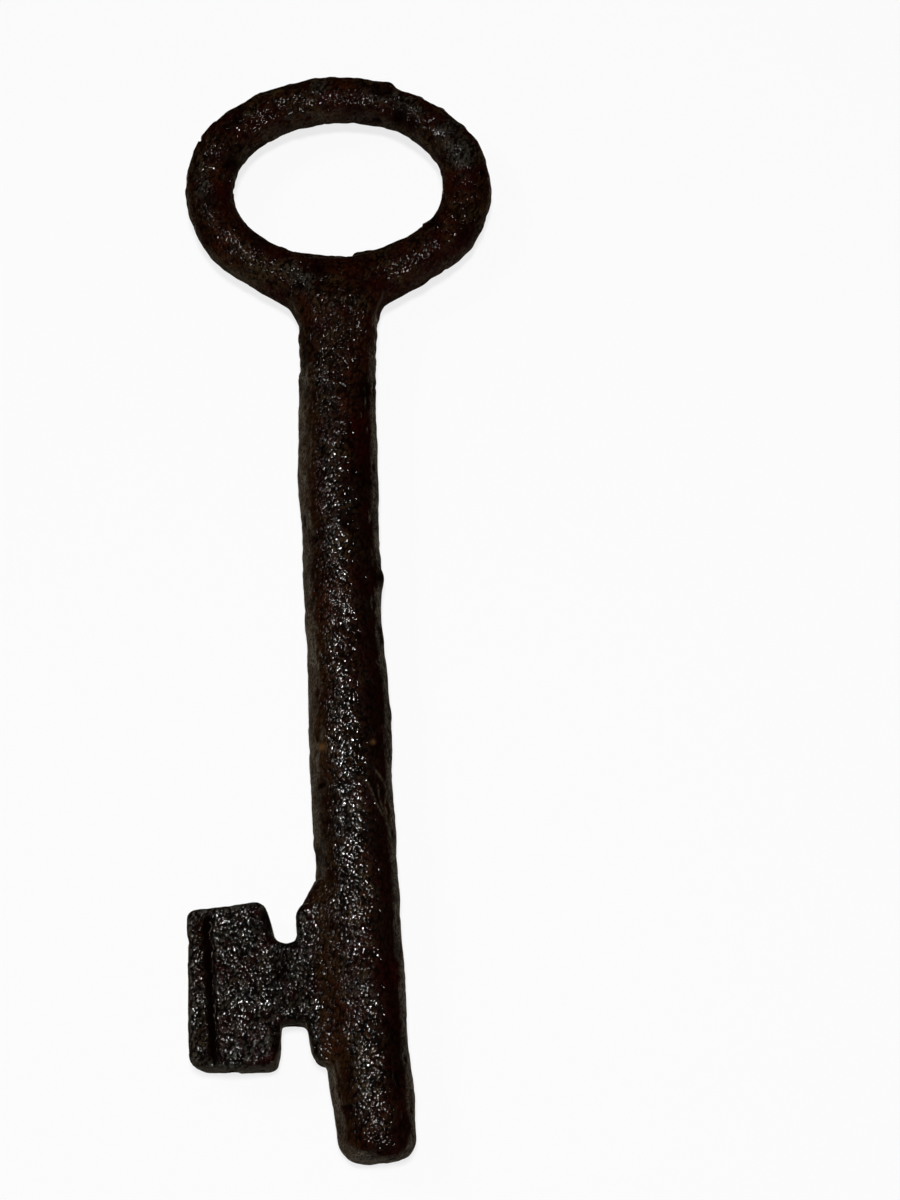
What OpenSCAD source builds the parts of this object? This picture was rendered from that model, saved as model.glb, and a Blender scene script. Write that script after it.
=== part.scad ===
// An old iron key lying flat, with its bow to +Y and its bit to -X.
// The origin is on the turning axis, at the shoulder where the pilot starts. Y is that axis.
// The bow's plane and the bit's faces are level, and +Z looks up from them.

/* [Shank] */
// Diameter of the round shank above the bit
shank_d = 9; // [7:0.1:11]
// How much thicker the shank's foot is, beside the bit
foot_swell = 0.1; // [0.1:0.05:1]
// Length of the shank along its middle, from the pilot's shoulder to the neck joint
shank_l = 82.8; // [60:0.1:120]
// Angle by which the shank is bent sideways over its upper stretch
bend_angle = 4.3; // [0.5:0.1:10]
// Straight stretch above the bit's spelter, before the bend starts
bend_gap = 0.5; // [0.2:0.1:10]

/* [Pilot] */
// Diameter of the pilot, the plain end that turns in the lock's far plate
pilot_d = 8.7; // [7:0.1:9]
// Length of the pilot, from its shoulder to its tip
pilot_l = 10; // [5:0.1:20]
// Radius of the worn corner round the pilot's tip
pilot_round = 2.2; // [0.2:0.1:3]

/* [Bow] */
// Overall width of the bow
bow_w = 36.4; // [30.4:0.1:50]
// Overall height of the bow, along the key
bow_h = 29.4; // [22:0.1:35]
// Thickness of the round bar that the bow is bent from
ring_d = 5.6; // [4:0.1:7]
// How much thicker the bar is round the bow's two sides
side_swell = 0.1; // [0.1:0.1:1]
// How much tighter the side curves are than a half circle of the bow's height
side_tuck = 1.75; // [1:0.05:3]

/* [Neck] */
// Length of the neck, from the end of the shank to the outside of the bow
neck_l = 8; // [6:0.1:16]
// Diameter of the neck where it runs into the bow
neck_top_d = 9.4; // [8:0.1:11]
// Diameter of the neck at its joint with the shank
neck_end_d = 8.8; // [7.5:0.1:10]
// Radius of the hollow between the neck's flanks and the bow
neck_fillet_r = 5; // [2:0.1:7]

/* [Bit] */
// Distance of the bit's outer edge from the turning axis
bit_reach = 19.2; // [15:0.1:26]
// Height of the bit along the shank
bit_h = 18; // [14:0.1:30]
// Thickness of the bit
bit_t = 5.6; // [4:0.1:7]
// Height of the bit's lower edge above the pilot's shoulder
bit_rise = 1; // [0.2:0.1:5]
// Radius of the bit's worn corners
bit_corner_r = 1.2; // [0.3:0.1:1.8]

/* [Ward cuts and groove] */
// Distance of both ward cuts' middle from the turning axis
ward_r = 8.2; // [7.5:0.1:10.5]
// Width of both ward cuts
ward_w = 2.9; // [1.5:0.1:3.5]
// Depth of the ward cut in the bit's upper edge
ward_top_depth = 5; // [2:0.1:6]
// Depth of the ward cut in the bit's lower edge
ward_low_depth = 5; // [2:0.1:6]
// Distance of the groove's middle from the bit's outer edge
groove_inset = 2.4; // [1.6:0.1:4]
// Width of the groove in the bit's upper face
groove_w = 1.3; // [0.6:0.1:2]
// Depth of the groove in the bit's upper face
groove_depth = 1.2; // [0.4:0.1:2]

/* [Joints] */
// Diameter of the bow's tenon, which sits in the end of the shank
tenon_d = 5; // [3:0.1:6]
// Length of the tenon inside the shank
tenon_l = 9; // [4:0.1:15]
// Thickness of the bit's tongue, which sits in a slot in the shank
tongue_t = 3.2; // [2:0.1:3.8]
// Depth of the tongue in the shank
tongue_depth = 2.4; // [1:0.1:3]
// Gap between fitted pieces, which holds a film of spelter
fit_gap = 0.05; // [0.02:0.01:0.2]
// Thickness of the spelter between the neck and the end of the shank
seam_t = 0.5; // [0.2:0.1:1]
// How far the spelter bead stands out of the neck joint
bead_proud = 0.1; // [0:0.05:0.5]
// Radius of the spelter fillets between the bit's faces and the shank
braze_r = 1.6; // [0.8:0.1:2.4]
// Height of the spelter ramp above the bit's root
ramp_top_h = 2.8; // [1:0.1:5]
// Height of the spelter ramp below the bit's root
ramp_low_h = 0.6; // [0.2:0.1:2]

/* [Hidden] */
$fn = 64;
lap = 1; // extra length that carries a cut or a join past a face
lap_angle = 0.5; // extra angle that carries a thin bar's end into a thicker one

// Turning axis and bend
foot_r = (shank_d + foot_swell) / 2;
bit_top_y = bit_rise + bit_h;
ramp_top_y = bit_top_y + ramp_top_h;
bend_start = ramp_top_y + bend_gap;
foot_l = bend_start + foot_swell; // runs a little way over the bent bar, which is thinner
bend_l = shank_l - bend_start;
bend_r = bend_l / (bend_angle * PI / 180);
shank_end = [bend_r * (1 - cos(bend_angle)), bend_start + bend_r * sin(bend_angle)];

// The bow's bar follows an oval of four arcs, with its middle at bow_middle_y above the shank's end
ring_side_d = ring_d + side_swell;
oval_a = (bow_w - ring_side_d) / 2;
oval_b = (bow_h - ring_d) / 2;
bow_side_r = oval_b - side_tuck;
bow_flat_r = (oval_a * oval_a + oval_b * oval_b - 2 * oval_a * bow_side_r) / (2 * side_tuck);
side_centre_x = oval_a - bow_side_r;
flat_centre_y = bow_flat_r - oval_b;
flat_half_angle = atan(side_centre_x / flat_centre_y);
bow_middle_y = neck_l + bow_h / 2;
low_arc_y = bow_middle_y + flat_centre_y; // middle of the lower arc

// Hollows between the neck's flanks and the bow touch both of them
neck_top_r = neck_top_d / 2;
neck_dome_y = neck_l + ring_d / 2 - neck_top_r;
hollow_x = neck_top_r + neck_fillet_r;
bow_outer_r = bow_flat_r + ring_d / 2;
hollow_y = low_arc_y - sqrt(pow(bow_outer_r + neck_fillet_r, 2) - pow(hollow_x, 2));
touch = bow_outer_r / (bow_outer_r + neck_fillet_r);
touch_x = hollow_x * touch;
touch_y = low_arc_y - (low_arc_y - hollow_y) * touch;
gusset_t = ring_d * 0.6;

// Spelter fillets touch the bit's faces and the shank
fillet_x = sqrt(pow(foot_r + braze_r, 2) - pow(bit_t / 2 + braze_r, 2));
ramp_reach = ward_r - ward_w / 2 - bit_corner_r / 2;

// Lays what is drawn along +Z along the turning axis, +Y
module along_y() {
    rotate([-90, 0, 0]) children();
}

// Frame of the neck joint: at the end of the bent shank, with +Y along the neck
module at_neck() {
    translate([shank_end[0], shank_end[1], 0]) rotate(-bend_angle) children();
}

// Flat rectangle with round corners, from its lower left corner
module rounded_rect(w, h, r) {
    translate([r, 0]) square([w - 2 * r, h]);
    translate([0, r]) square([w, h - 2 * r]);
    for (x = [r, w - r], y = [r, h - r])
        translate([x, y]) circle(r = r);
}

// One arc of the bow's bar
module bar_arc(radius, middle_angle, half_angle, bar_d) {
    rotate(middle_angle - half_angle)
        rotate_extrude(angle = 2 * half_angle)
            translate([radius, 0]) circle(d = bar_d);
}

// The bow's oval ring, about its own middle. The flat arcs end inside the thicker side arcs
module bow_ring() {
    for (side = [0, 180])
        rotate(side) {
            translate([side_centre_x, 0, 0]) bar_arc(bow_side_r, 0, 90 - flat_half_angle, ring_side_d);
            translate([0, flat_centre_y, 0]) bar_arc(bow_flat_r, 270, flat_half_angle + lap_angle, ring_d);
        }
}

// The web that fills the hollow between one flank of the neck and the bow
module neck_gusset() {
    linear_extrude(gusset_t, center = true)
        difference() {
            polygon([
                [0, hollow_y],
                [hollow_x, hollow_y],
                [touch_x, touch_y],
                [0, neck_l + ring_d / 2]
            ]);
            translate([hollow_x, hollow_y]) circle(r = neck_fillet_r);
        }
}

// The neck tapers towards its joint and ends in a dome on the bow's bar
module neck() {
    translate([0, seam_t, 0]) along_y()
        cylinder(h = neck_dome_y - seam_t, d1 = neck_end_d, d2 = neck_top_d);
    translate([0, neck_dome_y, 0]) sphere(d = neck_top_d);
    neck_gusset();
    mirror([1, 0, 0]) neck_gusset();
}

module bow() {
    color([0.19, 0.14, 0.11])
        at_neck() {
            translate([0, bow_middle_y, 0]) bow_ring();
            neck();
            translate([0, -tenon_l, 0]) along_y()
                cylinder(h = tenon_l + seam_t + lap, d = tenon_d);
        }
}

// Plain end below the bit, with a worn corner round its tip
module pilot() {
    rotate([90, 0, 0]) {
        cylinder(h = pilot_l - pilot_round, d = pilot_d);
        translate([0, 0, pilot_l - pilot_round]) rotate_extrude() {
            square([pilot_d / 2 - pilot_round, pilot_round]);
            intersection() {
                translate([pilot_d / 2 - pilot_round, 0]) circle(r = pilot_round);
                square([pilot_d / 2, pilot_round]);
            }
        }
    }
}

// The shank's round bar: straight and a touch thicker beside the bit, then bent sideways
module shank_bar() {
    along_y() cylinder(h = foot_l, r = foot_r);
    translate([bend_r, bend_start, 0]) rotate(180 - bend_angle)
        rotate_extrude(angle = bend_angle)
            translate([bend_r, 0]) circle(d = shank_d);
}

// Slot for the bit's tongue, open through the shank's flank
module tongue_slot() {
    translate([-foot_r - lap, bit_rise - fit_gap, -tongue_t / 2 - fit_gap])
        cube([tongue_depth + lap + fit_gap, bit_h + 2 * fit_gap, tongue_t + 2 * fit_gap]);
}

// Blind hole for the bow's tenon
module tenon_socket() {
    at_neck() translate([0, -tenon_l - seam_t, 0]) along_y()
        cylinder(h = tenon_l + seam_t + lap, d = tenon_d + 2 * fit_gap);
}

module shank() {
    color([0.21, 0.16, 0.13]) {
        difference() {
            shank_bar();
            tongue_slot();
            tenon_socket();
        }
        pilot();
    }
}

// The bit seen from above, from its outer edge to the turning axis
module bit_outline() {
    difference() {
        translate([-bit_reach, bit_rise]) rounded_rect(bit_reach + lap, bit_h, bit_corner_r);
        translate([-ward_r - ward_w / 2, bit_top_y - ward_top_depth]) square([ward_w, ward_top_depth + lap]);
        translate([-ward_r - ward_w / 2, bit_rise - lap]) square([ward_w, ward_low_depth + lap]);
    }
}

// Groove along the bit's upper face, which leaves a raised rail at its outer edge
module bit_groove() {
    translate([-bit_reach + groove_inset - groove_w / 2, bit_rise - lap, bit_t / 2 - groove_depth])
        cube([groove_w, bit_h + 2 * lap, groove_depth + lap]);
}

// Round space that the shank's foot takes up
module foot_space() {
    translate([0, -lap, 0]) along_y()
        cylinder(h = bend_start + 2 * lap, r = foot_r + fit_gap);
}

module bit() {
    color([0.24, 0.20, 0.17]) {
        difference() {
            linear_extrude(bit_t, center = true) bit_outline();
            foot_space();
            bit_groove();
        }
        translate([-foot_r - lap, bit_rise, -tongue_t / 2])
            cube([tongue_depth + lap, bit_h, tongue_t]);
    }
}

// Ring of spelter that shows at the neck joint
module neck_braze() {
    color([0.25, 0.20, 0.15])
        at_neck() along_y()
            difference() {
                cylinder(h = seam_t, d = neck_end_d + 2 * bead_proud);
                translate([0, 0, -lap])
                    cylinder(h = seam_t + 2 * lap, d = tenon_d + 2 * fit_gap);
            }
}

// Fillet of spelter along one face of the bit, seen along the shank
module fillet_section() {
    difference() {
        polygon([[-fillet_x, bit_t / 4], [-fillet_x, bit_t / 2 + braze_r], [0, 0]]);
        translate([-fillet_x, bit_t / 2 + braze_r]) circle(r = braze_r);
    }
}

// Ramps of spelter over both ends of the bit's root, seen from above
module ramp_outline() {
    ramp_low_y = bit_rise - ramp_low_h;
    polygon([[-ramp_reach, bit_top_y], [0, bit_top_y], [0, ramp_top_y], [-foot_r, ramp_top_y]]);
    polygon([[-ramp_reach, bit_rise], [0, bit_rise], [0, ramp_low_y], [-foot_r, ramp_low_y]]);
}

module bit_braze() {
    color([0.26, 0.21, 0.16])
        difference() {
            union() {
                for (face = [0, 1])
                    mirror([0, 0, face])
                        translate([0, bit_top_y + ramp_top_h / 2, 0]) rotate([90, 0, 0])
                            linear_extrude(bit_h + (ramp_top_h + ramp_low_h) / 2) fillet_section();
                linear_extrude(bit_t, center = true) ramp_outline();
            }
            foot_space();
            translate([-bit_reach, bit_rise, -bit_t / 2]) cube([bit_reach, bit_h, bit_t]);
        }
}

bow();
shank();
bit();
neck_braze();
bit_braze();
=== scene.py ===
"""Visual model of an old iron key, corroded and oiled, on a pale floor under soft light.

Shapes are worked out in millimetres in the part's frame, where y runs along the key to the bow and
the bit lies to -x. Each piece is a level surface of a distance field, so that forged blends, worn
corners and pits are real shape.
"""
import math

import bpy
import numpy as np
from mathutils import Matrix, Vector


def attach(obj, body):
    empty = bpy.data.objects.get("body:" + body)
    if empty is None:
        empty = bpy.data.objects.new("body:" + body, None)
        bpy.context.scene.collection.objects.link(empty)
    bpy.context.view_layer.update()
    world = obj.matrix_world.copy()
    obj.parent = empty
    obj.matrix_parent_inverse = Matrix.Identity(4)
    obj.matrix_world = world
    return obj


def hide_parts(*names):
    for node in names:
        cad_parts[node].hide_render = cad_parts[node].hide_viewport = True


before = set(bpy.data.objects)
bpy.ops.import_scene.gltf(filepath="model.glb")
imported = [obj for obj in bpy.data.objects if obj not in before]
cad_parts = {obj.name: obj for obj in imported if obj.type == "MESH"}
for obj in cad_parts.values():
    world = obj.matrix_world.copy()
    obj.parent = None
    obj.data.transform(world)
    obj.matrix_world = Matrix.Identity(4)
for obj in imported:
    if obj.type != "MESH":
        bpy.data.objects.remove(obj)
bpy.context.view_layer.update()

MM = 0.001
COARSE = 1.0  # how much larger the cells are

# The camera: aimed at a point of the part's level middle plane, tilted back towards the pilot
CAMERA_AIM = np.array([13.14, 52.83, 0.0])
CAMERA_DISTANCE = 330.0
CAMERA_TILT = math.radians(17.0)
CAMERA_LEAN = math.radians(4.69)
MM_PER_PIXEL = 0.115
PICTURE_W, PICTURE_H = 900, 1200
SENSOR_H = 24.0
CLIP_START = 0.01

# The shank's bar and pilot: distance along the key, sideways place of its middle, radius
SHANK_STATIONS = [
    (-9.0, 0.22, 4.28), (-5.5, 0.20, 4.40), (-2.5, 0.12, 4.56), (1.5, -0.10, 4.44),
    (8.0, 0.00, 4.56), (16.0, 0.03, 4.58), (24.0, 0.15, 4.60), (30.0, 0.28, 4.64),
    (34.0, 0.38, 4.63), (39.5, 0.71, 4.76), (44.5, 0.77, 4.50), (52.0, 0.73, 4.34),
    (56.5, 0.96, 4.58), (61.5, 1.14, 4.44), (68.0, 1.34, 4.71), (74.0, 1.65, 4.52),
    (79.0, 2.05, 4.60), (83.0, 2.38, 4.32), (87.0, 2.60, 4.52), (92.0, 2.98, 4.76),
]
PILOT_TIP_Y = -10.1
PILOT_ROUND = 2.1
PILOT_TIP_X = 1.5  # the tip's face is a shallow curve, and reaches lowest here
PILOT_TIP_BULGE = 0.02
NECK_DOME_Y = 88.6

# The joint between neck and shank
JOINT = np.array([2.27, 82.74])
JOINT_ANGLE = math.radians(4.3)
SEAM_T = 0.5
TENON_R = 2.5
TENON_L = 9.0
TENON_ROOT = 1.0  # how far it goes on inside the neck
SOCKET_OPEN = 2.0  # how far its cut goes on past the shank
FIT_GAP = 0.05
NECK_BRAZE_PROUD, NECK_BRAZE_EDGE_R = 0.05, 0.15

# The slanted step where the shank's end stands out from the neck, lower on the right
STEP_MIDDLE = (2.3, 82.4)
STEP_SLOPE = 0.16
STEP_H, STEP_L = 0.28, 3.0
STEP_SOFT = 0.5
STEP_FADE_X, STEP_LEAST = 3.0, 0.4

# The bow's bar, and how forging and rust have changed it by angle about the bow's middle
BOW_MIDDLE = np.array([3.97, 105.38])
BOW_TURN = math.radians(-2.5)
BOW_A, BOW_B, BOW_TUCK = 15.38, 11.85, 1.75
BAR_R = 2.77
BAR_OUT = 0.05
BOW_WEAR = [  # angle, spread, how far the bar lies out, how much thicker it is
    (2, 16, 0.08, 0.04), (24, 8, -0.06, 0.00), (34, 12, -0.20, -0.18), (49, 13, -0.06, -0.24),
    (75, 14, -0.08, -0.08), (130, 20, 0.08, 0.00), (152, 14, 0.06, 0.20), (165, 9, 0.10, 0.06),
    (205, 12, 0.00, 0.14), (280, 40, -0.10, 0.08), (308, 14, -0.10, 0.16), (338, 14, 0.18, 0.14),
]

# Where the limbs run straight into the neck: start, end, radius
LIMBS = [
    ((-4.30, 95.05), (1.5, 90.6), 2.60),
    ((11.15, 94.4), (4.6, 91.1), 2.60),
]
LIMB_BLEND = 0.8

# Fillets between bow and neck. Each pair is the start and length of a change.
CORNER_LEFT, CORNER_RIGHT = 1.5, 0.7
CORNER_TURN = (1.0, 4.0)
CORNER_TOP = 4.0
CORNER_HIGH = (0.6, 2.2)

# Shallow rings that forging left round the neck: place along the key, height
NECK_RINGS = [(86.1, 0.10), (84.4, 0.10)]
NECK_RING_W = 0.55

# The bit seen from above
BIT_T = 5.6
BIT_EDGE_R = 0.75
BIT_ROUND = 0.32
BIT_OUTLINE = [
    (-2.0, 1.6), (-4.6, 0.75), (-5.4, 1.05), (-6.0, 1.8), (-6.2, 3.0), (-6.35, 4.9), (-6.65, 5.6),
    (-9.4, 5.6), (-9.75, 2.4), (-10.1, 1.1), (-10.9, 0.8), (-14.6, 0.95), (-18.1, 1.4),
    (-19.25, 2.0), (-19.5, 3.2), (-19.15, 11.0), (-18.9, 18.1), (-18.4, 18.75), (-14.5, 18.9),
    (-12.5, 19.1), (-11.0, 19.25), (-10.2, 18.6), (-9.85, 17.2), (-9.5, 15.3), (-8.95, 14.5),
    (-8.1, 14.25), (-7.2, 14.5), (-6.9, 15.3), (-6.85, 16.6), (-6.7, 17.5), (-6.1, 18.3),
    (-2.0, 18.6),
]
RAMP_OUTLINE = [
    (-6.6, 16.9), (-6.35, 18.1), (-5.35, 19.6), (-4.3, 21.2), (-3.2, 22.2), (-3.0, 16.9),
]
RAMP_T = 4.4
RAMP_ROUND, RAMP_EDGE_R = 0.3, 0.9

# The fillets between bit and shank are smaller at both ends of the root
BRAZE_R, BRAZE_END_R = 1.9, 0.8
ROOT_LOW_Y, ROOT_TOP_Y = 0.8, 21.0
ROOT_FADE = 2.0
BRAZE_SINK = 0.02  # how far the spelter stays below the iron's faces
BRAZE_BITE = 0.16  # how deep it reaches under the iron's skin
BRAZE_REACH = 2.6  # how far it goes from either piece

# The bit's tongue, which lies in the shank's slot
TONGUE_T = 3.2
TONGUE_DEPTH = 2.4
TONGUE_OUT_X = -5.2
TONGUE_INSET = 0.3  # how far it stays inside the bit's outline
FOOT_R = 4.55
BIT_RISE = 1.0
BIT_H = 18.0

# The groove beside the bit's outer edge, from its lower to its upper end
GROOVE_LOW, GROOVE_TOP = (-16.60, 0.0), (-16.5, 20.0)
GROOVE_LEFT, GROOVE_RIGHT = 0.85, 0.50
GROOVE_DEPTH = 1.3
GROOVE_CURVE = 1.2  # above 1, the groove is narrower than a plain V
GROOVE_ENDS = (1.3, 18.3)
GROOVE_RUNOUT = 0.9
GROOVE_WAVES = [(0.07, 2.1, 0), (0.05, 4.7, 1)]  # height, radians per mm, shift

# The rail outside the groove, and the slanting strokes on it
RAIL_EDGE, RAIL_SOFT = -0.9, 0.4
RAIL_DROP = 0.2
STROKE_H = 0.08
STROKE_ACROSS = (0.87, -0.5)
STROKES = 2 * math.pi / 0.75  # radians per mm across the strokes
STROKE_LEVEL, STROKE_SWING, STROKE_BEAT = 0.6, 0.4, 1.7  # stronger and weaker along the rail

# Also on that face: a crack, a hammered lip under an arch, a hollow and a bevel
CRACK_X, CRACK_Y, CRACK_LEAN, CRACK_W, CRACK_D = -8.55, 11, 0.05, 0.17, 0.20
CRACK_ENDS, CRACK_FADE = (9.9, 13.4), 0.5
LIP_X, LIP_Y, LIP_W, LIP_L, LIP_H = -8.2, 7.0, 1.15, 1.4, 0.18
ARCH_W, ARCH_D, ARCH_LEAST = 0.16, 0.13, 0.2
ARCH_UP, ARCH_LEFT = (-0.9, 0.6), (-9.6, 1.4)
HOLLOW_X, HOLLOW_Y, HOLLOW_W, HOLLOW_L, HOLLOW_D = -8.2, 10.5, 1.9, 3.6, 0.24
BEVEL_X, BEVEL_Y, BEVEL_LEAN, BEVEL_W, BEVEL_D = -9.85, 17, 0.12, 1.1, 0.6
BEVEL_UP, BEVEL_RIGHT = (14.2, 1.5), -8.5

# Small lumps and dents: place, how far they reach, and height, negative for a dent
LUMPS = [
    ((5.25, 55.9, 0.4), 0.9, 0.32), ((5.3, 57.2, 0.4), 0.5, -0.20), ((11.1, 118.4, 0.8), 0.8, 0.16),
    ((12.4, 117.7, 1.2), 0.9, -0.26), ((10.6, 115.9, 2.6), 1.1, -0.26), ((9.2, 115.2, 2.6), 0.7, 0.12),
    ((15.0, 116.8, 0.6), 0.7, 0.20), ((16.3, 115.7, 0.6), 0.5, -0.16), ((17.5, 114.8, 0.5), 0.6, 0.20),
    ((18.6, 113.4, 0.4), 0.5, -0.14), ((19.5, 112.2, 0.3), 0.6, 0.16), ((13.9, 99.9, 0.2), 0.5, 0.42),
    ((13.2, 99.2, 0.3), 0.45, -0.22), ((3.2, 96.3, 0.0), 1.8, 0.12), ((5.6, 96.6, 0.1), 0.6, 0.48),
    ((6.8, 96.6, 0.1), 0.9, 0.40), ((5.0, 56.1, 0.6), 0.6, 0.24), ((5.6, 39.9, 0.5), 0.9, 0.16),
    ((-3.3, 36.4, 0.5), 1.2, -0.12), ((-6.5, 17.3, 1.2), 0.4, 0.16),
]


def rise(value, start, length):
    """0 up to the start, then rising to 1 over the length."""
    return np.clip((value - start) / length, 0, 1)


def fall(value, end, length):
    """1, then falling over the length to 0 at the end."""
    return np.clip((end - value) / length, 0, 1)


def between(value, ends, soft):
    """1 between the two ends, and 0 outside them."""
    return rise(value, ends[0], soft) * fall(value, ends[1], soft)


def profile(y, stations, column, soft=1.6):
    """A value of the stations at y, with the corners between stations smoothed over."""
    at = [s[0] for s in stations]
    values = [s[column] for s in stations]
    offsets = (-1.5, -0.5, 0.5, 1.5)
    return sum(np.interp(y + o * soft, at, values) for o in offsets) / len(offsets)


def round_union(a, b, radius):
    """The union of two fields, with a fillet of the radius between them."""
    inside = np.sqrt(np.maximum(radius - a, 0) ** 2 + np.maximum(radius - b, 0) ** 2)
    return np.maximum(radius, np.minimum(a, b)) - inside


def round_cut(a, b, radius):
    """What lies in both fields, with their common edge rounded to the radius."""
    outside = np.sqrt(np.maximum(radius + a, 0) ** 2 + np.maximum(radius + b, 0) ** 2)
    return np.minimum(-radius, np.maximum(a, b)) + outside


def segment_away(x, y, start, end):
    """The squared distance in the plane to the straight line between two points."""
    (ax, ay), (bx, by) = start, end
    ex, ey = bx - ax, by - ay
    t = np.clip(((x - ax) * ex + (y - ay) * ey) / (ex * ex + ey * ey), 0, 1)
    return (x - ax - t * ex) ** 2 + (y - ay - t * ey) ** 2


def outline_field(x, y, points):
    """Signed distance in the plane to a closed outline."""
    best = np.full(np.broadcast(x, y).shape, 1e9)
    inside = np.zeros(best.shape, bool)
    for (ax, ay), (bx, by) in zip(points, points[1:] + points[:1]):
        best = np.minimum(best, segment_away(x, y, (ax, ay), (bx, by)))
        crosses = (ay > y) != (by > y)
        inside ^= crosses & (x < ax + (y - ay) * (bx - ax) / (by - ay or 1e-9))
    return np.where(inside, -1, 1) * np.sqrt(best)


def soft_outline(x, y, points, soft):
    """The outline's field averaged over a small ring, which rounds its corners."""
    total = outline_field(x, y, points)
    for k in range(6):
        dx = soft * math.cos(k * math.pi / 3)
        dy = soft * math.sin(k * math.pi / 3)
        total = total + outline_field(x + dx, y + dy, points)
    return total / 7


# Noise from a random lattice, the same for every piece

SCATTER = (73856093, 19349663, 83492791, 26544357)  # for i, j, k and the seed
STIR = [(13, 1274126177), (15, 2246822519)]  # shift and factor of each round
SEED_SHIFT = 0.37  # moves the lattices of different seeds apart


def lattice(i, j, k, seed):
    """A random number from -1 to 1 for each whole-numbered place."""
    i, j, k = (np.asarray(n).astype(np.int64) & 0xFFFF for n in (i, j, k))
    h = (i * SCATTER[0]) ^ (j * SCATTER[1]) ^ (k * SCATTER[2]) ^ (seed * SCATTER[3])
    for shift, factor in STIR:
        h = ((h ^ (h >> shift)) * factor) & 0xFFFFFFFF
    return ((h >> 8) & 0xFFFF) / 32767.5 - 1


def ease(t):
    """From 0 to 1 with a level start and end."""
    return t * t * t * (t * (6 * t - 15) + 10)


def grid_noise(xs, ys, zs, cell, seed):
    """Smooth noise on a whole grid at once."""
    ranges, places, weights = [], [], []
    for values in (xs, ys, zs):
        scaled = values / cell + SEED_SHIFT * seed
        low = np.floor(scaled).astype(int)
        ranges.append(np.arange(low[0], low[-1] + 2))
        places.append(low - low[0])
        weights.append(ease(scaled - low).astype(np.float32))
    i, j, k = np.meshgrid(*ranges, indexing="ij")
    out = lattice(i, j, k, seed).astype(np.float32)
    for axis in range(3):
        near = np.take(out, places[axis], axis)
        far = np.take(out, places[axis] + 1, axis)
        shape = [1, 1, 1]
        shape[axis] = -1
        out = near + (far - near) * weights[axis].reshape(shape)
    return out


def point_noise(points, cell, seed):
    """The same noise at single points."""
    scaled = points / cell + SEED_SHIFT * seed
    low = np.floor(scaled).astype(int)
    w = ease(scaled - low)
    total = np.zeros(len(points))
    for corner in np.ndindex(2, 2, 2):
        share = np.prod(np.where(corner, w, 1 - w), axis=1)
        total += share * lattice(*(low + corner).T, seed)
    return total


# Rust's relief, in millimetres: size of a noise, its height and its seed
SWELLS = [(5.3, 0.10, 1), (2.3, 0.07, 2)]
GRAINS = [(1.1, 0.05, 3), (0.6, 0.03, 4)]
PIT_SIZES, PIT_STRENGTH, PIT_LEAST, PIT_D = (1.5, 0.7), 1.6, 0.75, 0.18
SCALE_SIZE, SCALE_STRENGTH, SCALE_LEAST, SCALE_H = 3.4, 6, 1.2, 0.07
RELIEF_MEAN = 0.007  # taken off, so that the average thickness stays
BOW_RUST = 1.35  # the bow is rusted this much deeper than the rest


def rust_relief(noise):
    """How far rust stands out or has eaten in. noise(size, seed) gives noise at the places."""
    swell = sum(height * noise(size, seed) for size, height, seed in SWELLS)
    grain = sum(height * noise(size, seed) for size, height, seed in GRAINS)
    holes = noise(PIT_SIZES[0], 5) * PIT_STRENGTH + noise(PIT_SIZES[1], 6)
    pits = -PIT_D * np.clip(holes - PIT_LEAST, 0, 1)
    scale_edge = np.clip(noise(SCALE_SIZE, 7) * SCALE_STRENGTH - SCALE_LEAST, 0, 1)
    return swell + grain + pits + SCALE_H * scale_edge - RELIEF_MEAN


# The fields of the key's parts


def bar_field(x, y, z, dome_y=math.inf):
    """The round bar of shank and neck, which ends in a dome past dome_y."""
    middle = profile(y, SHANK_STATIONS, 1)
    radius = profile(y, SHANK_STATIONS, 2)
    past = np.maximum(y - dome_y, 0)
    return np.sqrt((x - middle) ** 2 + z ** 2 + past ** 2) - radius


def shank_field(x, y, z):
    """The bar with its rounded tip, and the slanted step at its upper end."""
    tip = PILOT_TIP_Y - y + PILOT_TIP_BULGE * (x - PILOT_TIP_X) ** 2
    bar = round_cut(bar_field(x, y, z), tip, PILOT_ROUND)
    below = STEP_MIDDLE[1] + STEP_SLOPE * (x - STEP_MIDDLE[0]) - y
    step = STEP_H * rise(below, -STEP_SOFT / 2, STEP_SOFT) * np.exp(-np.maximum(below, 0) / STEP_L)
    return bar - step * np.maximum(fall(x, STEP_FADE_X, STEP_FADE_X), STEP_LEAST)


def ring_field(x, y, z):
    """The bow's oval bar."""
    dx, dy = x - BOW_MIDDLE[0], y - BOW_MIDDLE[1]
    c, s = math.cos(BOW_TURN), math.sin(BOW_TURN)
    u, v = np.abs(dx * c + dy * s), np.abs(dy * c - dx * s)
    side_r = BOW_B - BOW_TUCK
    flat_r = (BOW_A ** 2 + BOW_B ** 2 - 2 * BOW_A * side_r) / (2 * BOW_TUCK)
    side_x, flat_y = BOW_A - side_r, flat_r - BOW_B
    on_flat = u * flat_y < (v + flat_y) * side_x
    flat = np.sqrt(u ** 2 + (v + flat_y) ** 2) - flat_r
    side = np.sqrt((u - side_x) ** 2 + v ** 2) - side_r
    out = np.where(on_flat, flat, side) - BAR_OUT
    angle = np.degrees(np.arctan2(dy, dx)) % 360
    radius = BAR_R
    for at, spread, shift, swell in BOW_WEAR:
        turn = (angle - at + 180) % 360 - 180
        share = np.exp(-((turn / spread) ** 2))
        out = out - shift * share
        radius = radius + swell * share
    return np.sqrt(out ** 2 + z ** 2) - radius


def limb_field(x, y, z, start, end, radius):
    """A straight round bar between two points at the middle height."""
    return np.sqrt(segment_away(x, y, start, end) + z ** 2) - radius


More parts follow.
